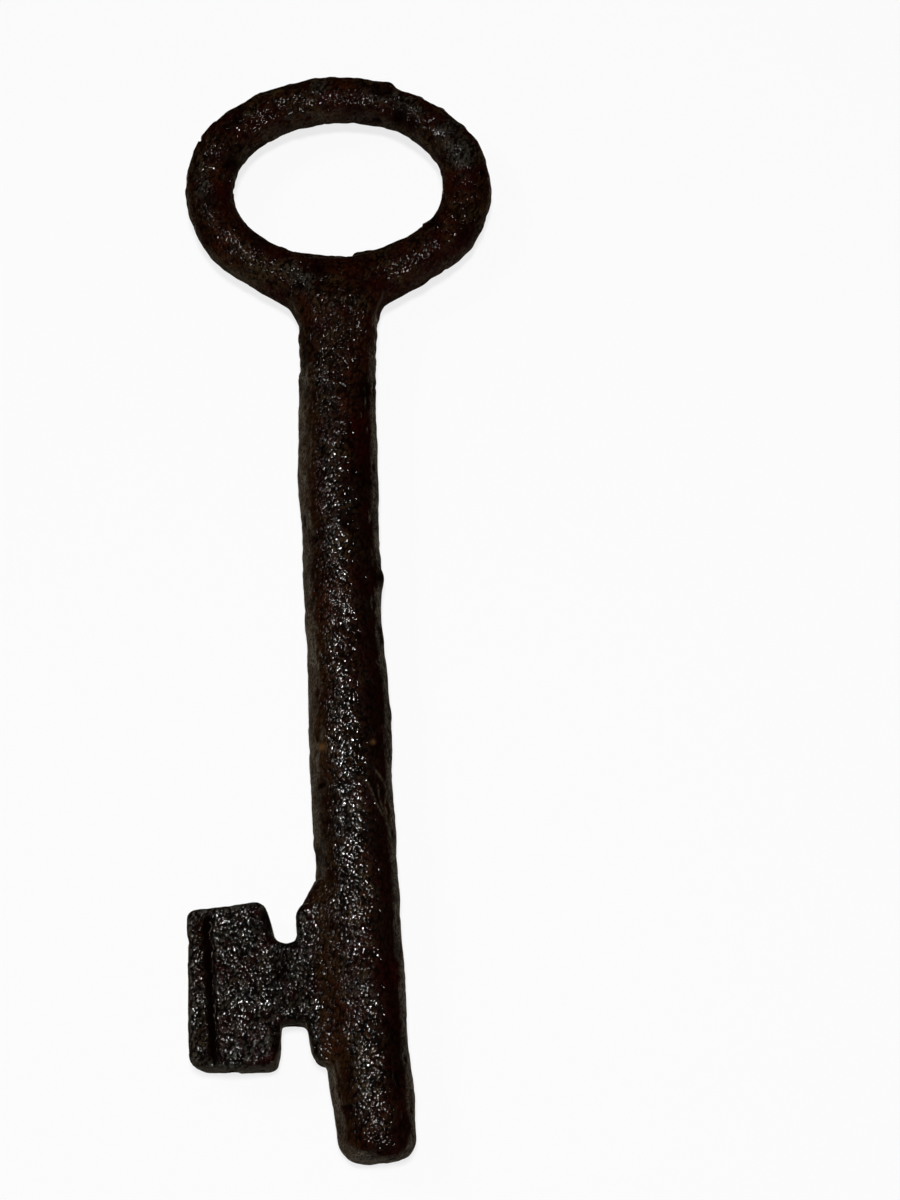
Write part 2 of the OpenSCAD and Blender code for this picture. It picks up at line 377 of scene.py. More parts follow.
def bow_field(x, y, z):
    """The ring run together with its two limbs and the neck."""
    ring = ring_field(x, y, z)
    for start, end, radius in LIMBS:
        ring = round_union(ring, limb_field(x, y, z, start, end, radius), LIMB_BLEND)
    neck = bar_field(x, y, z, NECK_DOME_Y)
    for at, height in NECK_RINGS:
        neck = neck - height * np.exp(-(((y - at) / NECK_RING_W) ** 2))
    corner = CORNER_LEFT + (CORNER_RIGHT - CORNER_LEFT) * rise(x, *CORNER_TURN)
    return round_union(ring, neck, corner + (CORNER_TOP - corner) * rise(np.abs(z), *CORNER_HIGH))


def groove_shape(x, y):
    """Distance beside the groove's middle, place on its walls, and whether it is open there."""
    along = rise(y, GROOVE_LOW[1], GROOVE_TOP[1] - GROOVE_LOW[1])
    off = x - (GROOVE_LOW[0] + (GROOVE_TOP[0] - GROOVE_LOW[0]) * along)
    for height, turns, shift in GROOVE_WAVES:
        off = off + height * np.sin(turns * y + shift)
    wall = np.where(off < 0, 1 + off / GROOVE_LEFT, 1 - off / GROOVE_RIGHT)
    return off, wall, between(y, GROOVE_ENDS, GROOVE_RUNOUT)


def rail_cut(x, y, off):
    """The rail lies a little lower than the face, with slanting strokes."""
    across = STROKE_ACROSS[0] * x + STROKE_ACROSS[1] * y
    strokes = np.sin(across * STROKES) * (STROKE_LEVEL + STROKE_SWING * np.sin(y * STROKE_BEAT))
    return fall(off, RAIL_EDGE, RAIL_SOFT) * (RAIL_DROP + STROKE_H * strokes)


def crack_cut(x, y):
    """A short, nearly upright seam line."""
    aside = x - CRACK_X - CRACK_LEAN * (y - CRACK_Y)
    return CRACK_D * np.exp(-((aside / CRACK_W) ** 2)) * between(y, CRACK_ENDS, CRACK_FADE)


def lip_cut(x, y):
    """The lip, which stands out, and the arched dent round it."""
    reach = np.sqrt(((x - LIP_X) / LIP_W) ** 2 + ((y - LIP_Y) / LIP_L) ** 2)
    arch_on = rise(y - LIP_Y, *ARCH_UP) * np.maximum(rise(x, *ARCH_LEFT), ARCH_LEAST)
    arch = ARCH_D * np.exp(-(((reach - 1) / ARCH_W) ** 2)) * arch_on
    return -LIP_H * np.clip(1.0 - reach, 0, 1), arch


def hollow_cut(x, y):
    """The shallow hollow in the middle of the web."""
    return HOLLOW_D * np.exp(-(((x - HOLLOW_X) / HOLLOW_W) ** 2) - ((y - HOLLOW_Y) / HOLLOW_L) ** 2)


def bevel_cut(x, y):
    """The worn slope where the block meets the upper ward cut."""
    inside = (BEVEL_X - BEVEL_LEAN * (y - BEVEL_Y)) - x
    slope = np.clip(1 - inside / BEVEL_W, 0, 1) ** 2
    return BEVEL_D * slope * rise(y, *BEVEL_UP) * (x < BEVEL_RIGHT)


def face_cut(x, y):
    """How deep the bit's upper face is cut at each place."""
    off, wall, open_ends = groove_shape(x, y)
    groove = GROOVE_DEPTH * np.clip(wall, 0, 1) ** GROOVE_CURVE * open_ends
    lip, arch = lip_cut(x, y)
    marks = groove + rail_cut(x, y, off) + crack_cut(x, y) + lip + arch
    return marks + hollow_cut(x, y) + bevel_cut(x, y)


def bit_plate(x, y, z):
    """The bit's plate, with everything that is cut or hammered into its upper face."""
    flat = soft_outline(x, y, BIT_OUTLINE, BIT_ROUND)
    top = z - BIT_T / 2 + face_cut(x, y)
    plate = round_cut(flat, top, BIT_EDGE_R)
    return round_cut(plate, -z - BIT_T / 2, BIT_EDGE_R)


def ramp_field(x, y, z):
    """The ramp of spelter over the upper end of the bit's root."""
    ramp = soft_outline(x, y, RAMP_OUTLINE, RAMP_ROUND)
    return round_cut(ramp, np.abs(z) - RAMP_T / 2, RAMP_EDGE_R)


def root_field(x, y, z):
    """Bit, ramp and shank run together with fillets of spelter."""
    plate = np.minimum(bit_plate(x, y, z), ramp_field(x, y, z))
    inner = np.minimum(rise(y, ROOT_LOW_Y, ROOT_FADE), fall(y, ROOT_TOP_Y, ROOT_FADE))
    radius = BRAZE_END_R + (BRAZE_R - BRAZE_END_R) * inner
    return round_union(plate, shank_field(x, y, z), radius)


def joint_place(x, y):
    """Distance past the joint along the neck, and distance to the side of its axis."""
    c, s = math.cos(JOINT_ANGLE), math.sin(JOINT_ANGLE)
    dx, dy = x - JOINT[0], y - JOINT[1]
    return dx * s + dy * c, dx * c - dy * s


def rod_field(x, y, z, radius, low, high):
    """A plain rod along the neck's axis."""
    along, side = joint_place(x, y)
    return np.maximum(np.sqrt(side ** 2 + z ** 2) - radius, np.maximum(low - along, along - high))


def tongue_field(x, y, z, gap):
    """The bit's tongue inside the shank, or the slot for it."""
    inner = TONGUE_DEPTH - FOOT_R + gap
    level = np.abs(z) - TONGUE_T / 2 - gap
    ends = np.maximum(BIT_RISE - gap - y, y - BIT_RISE - BIT_H - gap)
    sides = np.maximum(x - inner, TONGUE_OUT_X - gap - x)
    return np.maximum(np.maximum(level, ends), sides)


# Each piece: its field, given the relief that rust adds


def bow_piece(x, y, z, relief):
    along, _ = joint_place(x, y)
    body = np.maximum(bow_field(x, y, z) + BOW_RUST * relief, SEAM_T - along)
    return np.minimum(body, rod_field(x, y, z, TENON_R, -TENON_L, SEAM_T + TENON_ROOT))


def shank_piece(x, y, z, relief):
    along, _ = joint_place(x, y)
    body = np.maximum(shank_field(x, y, z) + relief, along)
    socket = rod_field(x, y, z, TENON_R + FIT_GAP, -TENON_L - SEAM_T, SOCKET_OPEN)
    return np.maximum(body, -np.minimum(socket, tongue_field(x, y, z, FIT_GAP)))


def bit_piece(x, y, z, relief):
    body = np.maximum(bit_plate(x, y, z) + relief, FIT_GAP - shank_field(x, y, z) - relief)
    tongue = np.maximum(tongue_field(x, y, z, 0), outline_field(x, y, BIT_OUTLINE) + TONGUE_INSET)
    return np.minimum(body, tongue)


def neck_braze_piece(x, y, z, relief):
    along, side = joint_place(x, y)
    ring = shank_field(x, y, z) + relief - NECK_BRAZE_PROUD
    ring = round_cut(ring, np.abs(along - SEAM_T / 2) - SEAM_T, NECK_BRAZE_EDGE_R)
    return np.maximum(ring, TENON_R + FIT_GAP - np.sqrt(side ** 2 + z ** 2))


def bit_braze_piece(x, y, z, relief):
    shank = shank_field(x, y, z)
    plate = bit_plate(x, y, z)
    body = root_field(x, y, z) + relief + BRAZE_SINK
    body = np.maximum(body, -BRAZE_BITE - np.minimum(shank, plate) - relief)
    return np.maximum(body, np.maximum(shank, plate) - BRAZE_REACH)


PIECES = [  # node, field, cell, lowest and highest corner, material slot
    ("bow", bow_piece, 0.18, (-16.5, 73.0, -5.4), (24.5, 123.0, 5.4), "bow_iron"),
    ("shank", shank_piece, 0.205, (-6.2, -11.2, -5.4), (8.6, 84.0, 5.4), "shank_iron"),
    ("bit", bit_piece, 0.14, (-20.6, -0.6, -3.7), (-1.4, 20.6, 3.7), "bit_iron"),
    ("neck_braze", neck_braze_piece, 0.11, (-3.6, 81.4, -5.4), (8.2, 84.6, 5.4), "spelter"),
    ("bit_braze", bit_braze_piece, 0.12, (-9.4, -1.8, -5.0), (-1.0, 23.6, 5.0), "spelter"),
]


def steps_from(axis):
    """One step along the axis and along each of the two after it."""
    return [np.eye(3, dtype=int)[(axis + n) % 3] for n in range(3)]


def net_points(field, cells):
    """The middle of the places where a cell's edges cross the surface."""
    total = np.zeros((len(cells), 3))
    hits = np.zeros(len(cells))
    for axis in range(3):
        ahead, one, two = steps_from(axis)
        for side in range(4):
            start = (side & 1) * one + (side >> 1) * two
            end = start + ahead
            a = field[tuple((cells + start).T)]
            b = field[tuple((cells + end).T)]
            cross = (a < 0) != (b < 0)
            t = a[cross] / (a[cross] - b[cross])
            total[cross] += start + t[:, None] * (end - start)
            hits[cross] += 1
    return cells + total / hits[:, None]


def net_quads(inside, number, shape):
    """A quad between four cells for each grid edge that the surface crosses."""
    quads = []
    for axis in range(3):
        _, one, two = steps_from(axis)
        near = [slice(1, n) for n in shape]
        near[axis] = slice(0, shape[axis])
        far = list(near)
        far[axis] = slice(1, shape[axis] + 1)
        first, second = inside[tuple(near)], inside[tuple(far)]
        for entering in (False, True):
            found = np.argwhere((first == entering) & (second != entering))
            found += [int(n.start) for n in near]
            around = [found, found - one, found - one - two, found - two]
            corners = [number[tuple(c.T)] for c in around]
            quads.append(np.stack(corners if entering else corners[::-1], 1))
    return np.concatenate(quads)


def surface_net(field, low, step):
    """The surface where the field changes sign, as points and quads."""
    inside = field < 0
    shape = np.array(field.shape) - 1
    count = np.zeros(shape, np.uint8)
    for i, j, k in np.ndindex(2, 2, 2):
        count += inside[i : shape[0] + i, j : shape[1] + j, k : shape[2] + k]
    mixed = (count > 0) & (count < 8)
    number = np.full(shape, -1, np.int64)
    cells = np.argwhere(mixed)
    number[mixed] = np.arange(len(cells))
    return low + step * net_points(field, cells), net_quads(inside, number, shape)


def largest_part(points, quads):
    """Only the largest connected part, without crumbs that noise has cut off."""
    label = np.arange(len(points))
    while True:
        low = label[quads].min(1)
        before = label.copy()
        for column in range(4):
            np.minimum.at(label, quads[:, column], low)
        label = label[label]
        if (label == before).all():
            break
    values, sizes = np.unique(label, return_counts=True)
    keep = label == values[sizes.argmax()]
    index = np.cumsum(keep) - 1
    return points[keep], index[quads[keep[quads[:, 0]]]]


def build_mesh(name, points, quads):
    """A smooth mesh in metres."""
    mesh = bpy.data.meshes.new(name)
    mesh.vertices.add(len(points))
    mesh.vertices.foreach_set("co", (points * MM).astype(np.float32).ravel())
    mesh.loops.add(quads.size)
    mesh.loops.foreach_set("vertex_index", quads.astype(np.int32).ravel())
    mesh.polygons.add(len(quads))
    mesh.polygons.foreach_set("loop_start", np.arange(0, quads.size, 4, dtype=np.int32))
    mesh.update(calc_edges=True)
    mesh.validate()
    mesh.shade_smooth()
    return mesh


# Where the camera sees each point, and what is coloured by pixel

RIGHT = np.array([math.cos(CAMERA_LEAN), -math.sin(CAMERA_LEAN), 0])
LEVEL_UP = np.array([math.sin(CAMERA_LEAN), math.cos(CAMERA_LEAN), 0])
UP = LEVEL_UP * math.cos(CAMERA_TILT) + np.array([0, 0, math.sin(CAMERA_TILT)])
AHEAD = LEVEL_UP * math.sin(CAMERA_TILT) - np.array([0, 0, math.cos(CAMERA_TILT)])
EYE = CAMERA_AIM - CAMERA_DISTANCE * AHEAD


def pixel_of(points):
    """Where the camera sees each point in the picture."""
    away = points - EYE
    scale = CAMERA_DISTANCE / MM_PER_PIXEL / (away @ AHEAD)
    return np.stack([PICTURE_W / 2 + (away @ RIGHT) * scale, PICTURE_H / 2 - (away @ UP) * scale], 1)


LINES = {  # width in pixels, strength, and the pixels that a line runs through
    # Grey lines, partly real grey and partly painted sheen along the bow's ridges.
    "grey_and_sheen": [
        (2.4, 0.9, [(375, 98), (388, 101), (400, 104), (413, 108), (426, 113)]),
        (2.2, 0.8, [(290, 267), (300, 278), (311, 291)]),
    ],
    "dark_and_shade": [
        (1.5, 1, [(379, 94), (392, 97), (402, 100), (411, 104)]),
        (1.6, 1, [(393, 113), (401, 118), (410, 123)]),
        # This line is painted shade beside the scratches.
        (1.2, 1, [(368, 778), (372, 786), (376, 796), (380, 806), (384, 813)]),
        (1.2, 0.9, [(283, 955), (284, 968), (283, 984)]),
    ],
    "scratch": [
        (0.9, 1, [(376, 771), (381, 777), (385, 784), (387, 791), (386, 798), (385, 806), (387, 814)]),
        (0.8, 0.7, [(378, 785), (379, 795), (381, 803), (384, 811), (387, 820)]),
        (0.9, 0.8, [(366, 778), (370, 787), (374, 797), (378, 806), (382, 813), (388, 826), (391, 838)]),
    ],
}
SPOTS = {  # pixel, how far a spot reaches in millimetres, strength
    "rust": [
        (219, 176, 1.2, 0.8), (217, 186, 1, 0.6), (192, 182, 0.7, 0.8), (222, 242, 1.7, 0.9),
        (232, 256, 1.3, 0.7), (346, 84, 1.1, 1), (335, 95, 1.3, 0.5), (388, 112, 1.3, 0.9),
        (410, 124, 1, 0.7), (448, 180, 1.7, 1), (448, 200, 1.2, 0.7), (300, 300, 1.4, 0.7),
        (305, 318, 1.2, 0.7), (352, 378, 1.2, 0.7), (344, 400, 1.3, 1), (322, 610, 2.6, 0.7),
        (318, 590, 1.8, 0.8), (338, 1010, 1.4, 0.9), (334, 1045, 1.4, 0.8), (335, 1090, 2, 0.8),
        (360, 1140, 1.6, 0.9),
    ],
    "maroon": [
        (352, 104, 1.8, 0.9), (245, 132, 1.4, 0.6), (220, 158, 1.5, 0.8), (221, 192, 1.6, 1),
        (226, 206, 1.4, 0.9), (461, 186, 1.7, 0.9), (440, 238, 1.7, 0.9), (432, 258, 1.6, 0.9),
        (376, 285, 1.6, 0.9), (350, 270, 2, 0.6), (357, 425, 1.8, 1), (362, 455, 1.8, 0.8),
        (375, 330, 1.5, 0.6), (385, 975, 2.2, 0.8), (266, 1061, 1.4, 1), (273, 1052, 0.9, 0.9),
        (256, 1064, 1, 0.8), (220, 966, 1.2, 1), (227, 978, 1.2, 0.9), (255, 911, 1.3, 0.9),
        (264, 945, 0.9, 0.9), (253, 964, 0.7, 0.7), (255, 1024, 1, 0.7), (246, 1040, 1.3, 0.7),
        (204, 930, 0.9, 0.9), (208, 985, 0.9, 0.7), (213, 1050, 0.9, 0.6),
    ],
    "khaki": [
        (272, 93, 2, 0.7), (205, 160, 1.5, 0.5), (260, 272, 1.8, 1), (278, 284, 1.6, 0.9),
        (252, 258, 1, 0.6), (325, 118, 1.6, 0.7), (405, 134, 1.5, 0.8), (430, 148, 1.5, 0.8),
        (476, 215, 1.6, 0.7), (390, 250, 1.6, 0.6), (410, 280, 1.6, 0.7), (312, 400, 1.6, 0.6),
        (316, 1000, 1.6, 0.5), (195, 935, 1.2, 0.7), (197, 975, 1.4, 0.9), (199, 1005, 1.4, 0.9),
        (200, 1045, 1.4, 0.8),
    ],
    # Grey patches, partly real grey and partly painted sheen: on the bow's ridges, as near (462, 152), (303,
    # 282) and (292, 270), and in the shank's glint band.
    "grey_and_sheen": [
        (320, 88, 1, 0.8), (204, 188, 1.1, 0.9), (462, 152, 1.9, 1), (450, 128, 1.4, 0.7),
        (466, 168, 1, 0.7), (303, 282, 1.3, 1), (292, 270, 1.1, 0.6), (400, 100, 1.5, 0.8),
        (240, 962, 1.2, 0.6), (250, 925, 1.2, 0.5), (288, 985, 1.6, 0.5), (240, 1005, 1.6, 0.6),
        (365, 995, 2, 0.6), (345, 820, 2, 0.5),
    ],
    # Black marks, some of them painted shade: on the bevel's sloping side near (265, 917) to (274, 934) and
    # (262, 925), and on the lower notch's wall near (277, 1028) to (277, 1048).
    "dark_and_shade": [
        (376, 90, 0.8, 0.9), (400, 117, 1.4, 1), (412, 123, 1, 1), (356, 108, 1.3, 0.5),
        (232, 162, 1.2, 0.9), (236, 150, 1, 0.7), (209, 201, 0.9, 0.9), (258, 245, 1, 0.6),
        (432, 222, 0.9, 1), (465, 210, 1.2, 0.6), (318, 268, 1, 0.8), (345, 520, 1.2, 0.7),
        (380, 578, 0.8, 1), (380, 850, 1.6, 0.4), (284, 972, 0.6, 1), (265, 917, 0.8, 1),
        (270, 926, 0.8, 1), (274, 934, 0.7, 0.8), (277, 1028, 0.6, 1), (277, 1038, 0.6, 1),
        (277, 1048, 0.6, 1), (262, 925, 1, 0.5),
    ],
    "rough": [
        (322, 333, 1.3, 1), (340, 335, 1.3, 1), (358, 336, 1.3, 1), (326, 359, 1.2, 1),
        (342, 357, 1.2, 1), (358, 359, 1.2, 1), (325, 310, 1.6, 0.6), (352, 308, 1.6, 0.6),
        (303, 282, 1.3, 0.7), (292, 270, 1.2, 0.7), (381, 268, 1.4, 0.6),
    ],
    "ochre": [(322, 747, 0.44, 1), (373, 742, 0.28, 0.85)],
    "oil": [
        (233, 132, 1.6, 0.6), (243, 122, 1.3, 0.5), (207, 188, 1.2, 0.6), (212, 212, 1, 0.5),
        (228, 238, 1.8, 0.6), (238, 244, 1.6, 0.5), (281, 266, 1.5, 0.5), (296, 274, 1.6, 0.8),
        (305, 284, 1.4, 0.7), (380, 268, 1.6, 0.6), (396, 260, 1.6, 0.5), (360, 276, 1.4, 0.5),
        (468, 165, 1.4, 0.45), (272, 103, 1.6, 0.4), (290, 105, 1.2, 0.4), (322, 94, 1.6, 0.4),
        (345, 640, 1.4, 0.9), (345, 850, 1.6, 0.9), (322, 333, 1.2, 0.7), (340, 335, 1.2, 0.8),
        (358, 336, 1.2, 0.7), (326, 359, 1.2, 0.9), (342, 357, 1.2, 0.9), (358, 359, 1.2, 0.9),
    ],
}
OIL_ALONG = [  # place along the key, how much oil lies on the crust
    (-10, 0.44), (8, 0.64), (18, 0.84), (26, 0.95), (42, 0.86), (52, 0.78), (64, 0.68), (71, 0.48),
    (80, 0.50), (86, 0.62), (94, 0.40),
]
BIT_OIL = 0.66
SPOT_EDGE = 1.3  # above 1, a spot keeps its strength over more of its reach


def spots(pixels, where):
    """How strongly each pixel lies in one of the spots."""
    total = np.zeros(len(pixels))
    u, v = pixels.T
    for middle_u, middle_v, reach, strength in where:
        away = ((u - middle_u) ** 2 + (v - middle_v) ** 2) * (MM_PER_PIXEL / reach) ** 2
        total = np.maximum(total, strength * np.exp(-away ** SPOT_EDGE))
    return total


def lines(pixels, where):
    """How strongly each pixel lies on one of the lines."""
    total = np.zeros(len(pixels))
    u, v = pixels.T
    for width, strength, path in where:
        for start, end in zip(path, path[1:]):
            away = segment_away(u, v, start, end)
            total = np.maximum(total, strength * np.exp(-away / width ** 2))
    return total


def mark(mesh, name, values):
    """Stores one number per point for the material to read."""
    attribute = mesh.attributes.new(name, "FLOAT", "POINT")
    attribute.data.foreach_set("value", np.clip(values, 0, 1).astype(np.float32))


# How the crust changes over the key. Each pair is the start and length of a rise or fall.
FAMILIES = ("rust", "maroon", "khaki", "grey_and_sheen", "dark_and_shade", "ochre", "scratch", "rough")
UP_SOFT = 0.3  # spots fade where the surface turns down
PIT_SHADE = 4
BIT_ROOT, BIT_TOP_Y = (-5.5, 1.5), 24
FACE_EDGE = (-0.9, 0.4)
FACE_LOW, LOW_SHARE = (0.4, 1.2), 0.6
GROOVE_UP = (0.2, 0.8)
GROOVE_SHADE_LEFT, GROOVE_SHADE_RIGHT = (1.6, 0.2), (1.0, 0.5)  # growth up the wall, and least
SIDE_UP = (0.90, 0.4)
BIT_WEB, WEB_DRY = (-10.2, 1.2), 0.45
RAIL_OUT, RAIL_DRY = (-16.9, 0.6), 0.6
RAIL_MIDDLE_Y, RAIL_OILED = 9, 4
BAR_EDGE, BAR_TOP = (-1.15, 0.1), (82, 3)
# The shank's left side is painted lighter and its right side darker: painted light and painted shade.
PAINTED_LIGHT_LEFT, PAINTED_SHADE_RIGHT = (-0.35, 0.3), (0.22, 0.3)
# Faces turned sideways are painted lighter: painted sheen for the reflection of the pale floor.
FLANK_UNDER = (-0.7, 0.3)
FLANK_START_LEFT, FLANK_START = 0.75, 0.60
FLANK_FADE = ((82, 90), (0.20, 0.30))  # places, and how softly the painted sheen begins
FLANK_ALONG = ((80, 84, 92, 95), (1, 0.5, 0.5, 1))  # places, and the painted sheen's share
# Less of the painted sheen on the shank's right side.
RIGHT_LESS_SHEEN = 0.15
# The bit's rims are painted lighter grey, a painted reflection of the pale surroundings.
RIM_LOW, RIM_LEFT, RIM_TOP = (2.6, 0.8), (-18.0, 0.8), (17.6, 0.5)
RIM_LEFT_SHARE, RIM_TOP_SHARE = 0.6, 0.75
RIM_TOP_RIGHT = -9.5
RIM_CLOSE, RIM_WIDE = (-0.40, 0.35), (-0.95, 0.5)


def groove_shade(x, y, z):
    """How deep the painted shade in the groove is, more so on its left wall."""
    off, wall, open_ends = groove_shape(x, y)
    left, right = (growth * wall + least for growth, least in (GROOVE_SHADE_LEFT, GROOVE_SHADE_RIGHT))
    return np.clip(np.where(off < 0, left, right) * open_ends, 0, 1)


def oil_film(x, y, on_bit):
    """How much oil lies on the crust, less on the bit's web and the ends of its rail."""
    rail_ends = fall(x, *RAIL_OUT) * (1 - np.exp(-(((y - RAIL_MIDDLE_Y) / RAIL_OILED) ** 2)))
    bit_oil = BIT_OIL * (1 - WEB_DRY * rise(x, *BIT_WEB)) * (1 - RAIL_DRY * rail_ends)
    return np.interp(y, *zip(*OIL_ALONG)) * (1 - on_bit) + bit_oil * on_bit


def flank_dust(y, up, aside, on_shank):
    """Painted sheen on what faces sideways, a lighter colour for the pale floor's reflection; less round the
    neck and on the shank's right.
    """
    start = np.where((aside < 0) & (y < BAR_TOP[0]), FLANK_START_LEFT, FLANK_START)
    flank = fall(up, start, np.interp(y, *FLANK_FADE)) * rise(up, *FLANK_UNDER)
    return flank * (1 - RIGHT_LESS_SHEEN * (aside > 0) * on_shank) * np.interp(y, *FLANK_ALONG)


def painted_rim_reflection(x, y, rim, low_face):
    """The bit's edges painted lighter, a painted reflection: thin along the bottom, wider at the left and the
    top.
    """
    close = rise(rim, *RIM_CLOSE) * (fall(y, *RIM_LOW) * low_face)
    left_edge = RIM_LEFT_SHARE * fall(x, *RIM_LEFT)
    top_edge = RIM_TOP_SHARE * rise(y, *RIM_TOP) * (x < RIM_TOP_RIGHT)
    return np.maximum(close, rise(rim, *RIM_WIDE) * np.maximum(left_edge, top_edge))


def mark_surface(mesh, points):
    """How rusty, grey, oily and pitted the crust is at each point, and where light, shade, sheen and
    reflection are painted on it.
    """
    up = np.zeros(len(points) * 3)
    mesh.vertices.foreach_get("normal", up)
    up = up[2::3]
    x, y, z = points.T
    pixels = pixel_of(points)
    turned_up = np.clip(0.5 + up / UP_SOFT, 0, 1)
    for family in FAMILIES:
        found = np.maximum(spots(pixels, SPOTS.get(family, [])), lines(pixels, LINES.get(family, [])))
        mark(mesh, family, found * turned_up)
    relief = rust_relief(lambda size, seed: point_noise(points, size, seed))
    mark(mesh, "pit", np.clip(-relief * PIT_SHADE, 0, 1))
    on_bit = fall(x, *BIT_ROOT) * (y < BIT_TOP_Y)
    mark(mesh, "groove", groove_shade(x, y, z) * on_bit * rise(z, *GROOVE_UP))
    mark(mesh, "side", fall(np.abs(up), *SIDE_UP))
    mark(mesh, "oil", np.maximum(oil_film(x, y, on_bit), spots(pixels, SPOTS["oil"]) * turned_up))
    rim = soft_outline(x, y, BIT_OUTLINE, BIT_ROUND)
    on_face = on_bit * fall(rim, *FACE_EDGE) * (z > 0)
    low_face = 1 - LOW_SHARE * on_bit * rise(z, *FACE_LOW)
    aside = (x - profile(y, SHANK_STATIONS, 1)) / profile(y, SHANK_STATIONS, 2)
    on_shank = rise(aside, *BAR_EDGE) * fall(y, *BAR_TOP)
    # Painted sheen: faces turned sideways are painted lighter.
    mark(mesh, "flank", flank_dust(y, up, aside, on_shank) * low_face * (1 - on_face))
    # Painted light on the shank's left side, painted shade on its right.
    mark(mesh, "left", fall(aside, *PAINTED_LIGHT_LEFT) * on_shank)
    mark(mesh, "right", rise(aside, *PAINTED_SHADE_RIGHT) * on_shank)
    # Painted reflection along the bit's rims.
    mark(mesh, "rim", painted_rim_reflection(x, y, rim, low_face) * on_bit)


def add_object(name, data):
    """A new object in the scene."""
    thing = bpy.data.objects.new(name, data)
    bpy.context.scene.collection.objects.link(thing)
    return thing


def small_lumps(x, y, z):
    """The placed dents and lumps, as a change of the field."""
    total = 0
    for (cx, cy, cz), reach, height in LUMPS:
        away = (x - cx) ** 2 + (y - cy) ** 2 + (z - cz) ** 2
        total = total - height * np.exp(-away / reach ** 2)
    return total


def make_piece(node, field, cell, low, high, slot, material):
    """The visual piece that stands for one solid of the CAD."""
    step = cell * COARSE
    xs, ys, zs = (np.arange(a, b + step, step) for a, b in zip(low, high))
    x = xs[:, None, None]
    y = ys[None, :, None]
    z = zs[None, None, :]
    relief = -rust_relief(lambda size, seed: grid_noise(xs, ys, zs, size, seed))
    relief = relief + small_lumps(x, y, z)
    values = field(x, y, z, relief)
    points, quads = surface_net(values, np.array([xs[0], ys[0], zs[0]]), step)
    points, quads = largest_part(points, quads)
    mesh = build_mesh(node + "_look", points, quads)
    mark_surface(mesh, points)
    mesh.materials.append(material)
    piece = add_object(node + "_look", mesh)
    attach(piece, "root")
    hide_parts(node)
    return piece


# Materials

SMOOTH, DULL = 0.35, 0.75
DULL_RUST, DULL_MAROON = 0.8, 0.75
OILED = {  # the shader's plain values
    "Coat Roughness": 0.07, "Specular IOR Level": 0.0,
    "Sheen Weight": 0.10, "Sheen Roughness": 0.18, "Sheen Tint": (1.0, 0.85, 0.65, 1),
}
SIDE_SMOOTH = 0.7  # how much weaker the grains are on the rounded sides
FLANK_DULL = 0.9  # seen at a low angle, the crust hardly mirrors
SPOT_SHARES = dict(khaki=0.7, grey_and_sheen=0.75)  # the others are full
TINT_CELLS, TINT_GRAIN, TINT_FINE = 0.15, 0.45, 0.40  # what makes the crust lighter and darker
GRAINS_PER_MM = 2.9
GRAIN_LONG = 1.6  # longer than wide, and leaning to the right
GRAIN_LEAN = math.radians(25)
GRAIN_TEAR = 0.17  # how far they are pulled out of shape, in millimetres
TEARS_PER_MM = 1.8
ROUGH_MORE = 1.6  # how much higher they are in the rough spots
FINE_H, SCRATCH_H = 0.006, 0.05
DRAWN_LONG = 2.2  # the fine texture is drawn out this many times
DRAWN_LEAN = math.radians(35)

NOISES = dict(  # cells per millimetre, detail, roughness
    broad=(0.16, 3, 0.55), patch=(0.45, 4, 0.6), grain=(2.3, 3, 0.6), fine=(5.0, 3, 0.7),
    torn=(0.8, 4, 0.65), maroon=(0.3, 3, 0.55), rust=(0.22, 3, 0.55), dull=(0.7, 3, 0.6),
    swell=(1.3, 2, 0.55), oil=(0.8, 3, 0.7),
)
RAMPS = dict(  # where a change begins and is full, and for some the value before and after it
    light=(0.44, 0.56), khaki=(0.50, 0.64), khaki_tint=(0.42, 0.55),
    grey_and_sheen=(0.50, 0.60), grey_and_sheen_tint=(0.43, 0.56), left=(0.40, 0.58, 0.55, 0.9),
    maroon=(0.50, 0.58), maroon_torn=(0.34, 0.48), rust=(0.54, 0.62), rust_torn=(0.38, 0.54),
    orange=(0.50, 0.60), side_sheen=(0.40, 0.58, 0.15, 1.0), side_sheen_patch=(0.40, 0.58), rim=(0.38, 0.58),
    gap=(0.40, 0.75, 0.0), scratch=(0.40, 0.56, 0.1, 0.6),
    dull=(0.42, 0.56), turned=(0.09, 0.24), oil=(0.40, 0.60, 0.2, 1.7), shine=(0.0, 1.0, SMOOTH, DULL),
)
SIDE_SHEEN_MOST = 1.1
COATS = dict(  # a colour as it looks on screen, from 0 to 255, and its greatest share unless full
    # The shank's left coat is painted light, its right coat painted shade, and the grey coat partly painted
    # sheen.
    khaki=((56, 45, 27),), grey_and_sheen=((51, 52, 46),), left=((43, 26, 11),), right=((16, 5, 2), 0.85),
    maroon=((28, 3, 2), 0.95), rust=((31, 8, 3), 0.85), orange=((60, 26, 9), 0.8),
    # On the next line: the pale sideways coat and the grey rim coat are painted reflection, the groove coat
    # is painted shade, and the blackest coat is partly painted shade.
    side_sheen=((90, 84, 73),), rim=((68, 65, 58), 0.85), dark_and_shade=((5, 1, 1), 0.92), groove=((7, 1, 1), 0.9),
    # The near-black between grains is partly painted shade.
    gap=((2, 1, 0),), scratch=((80, 73, 58),), ochre=((82, 56, 31),),
)

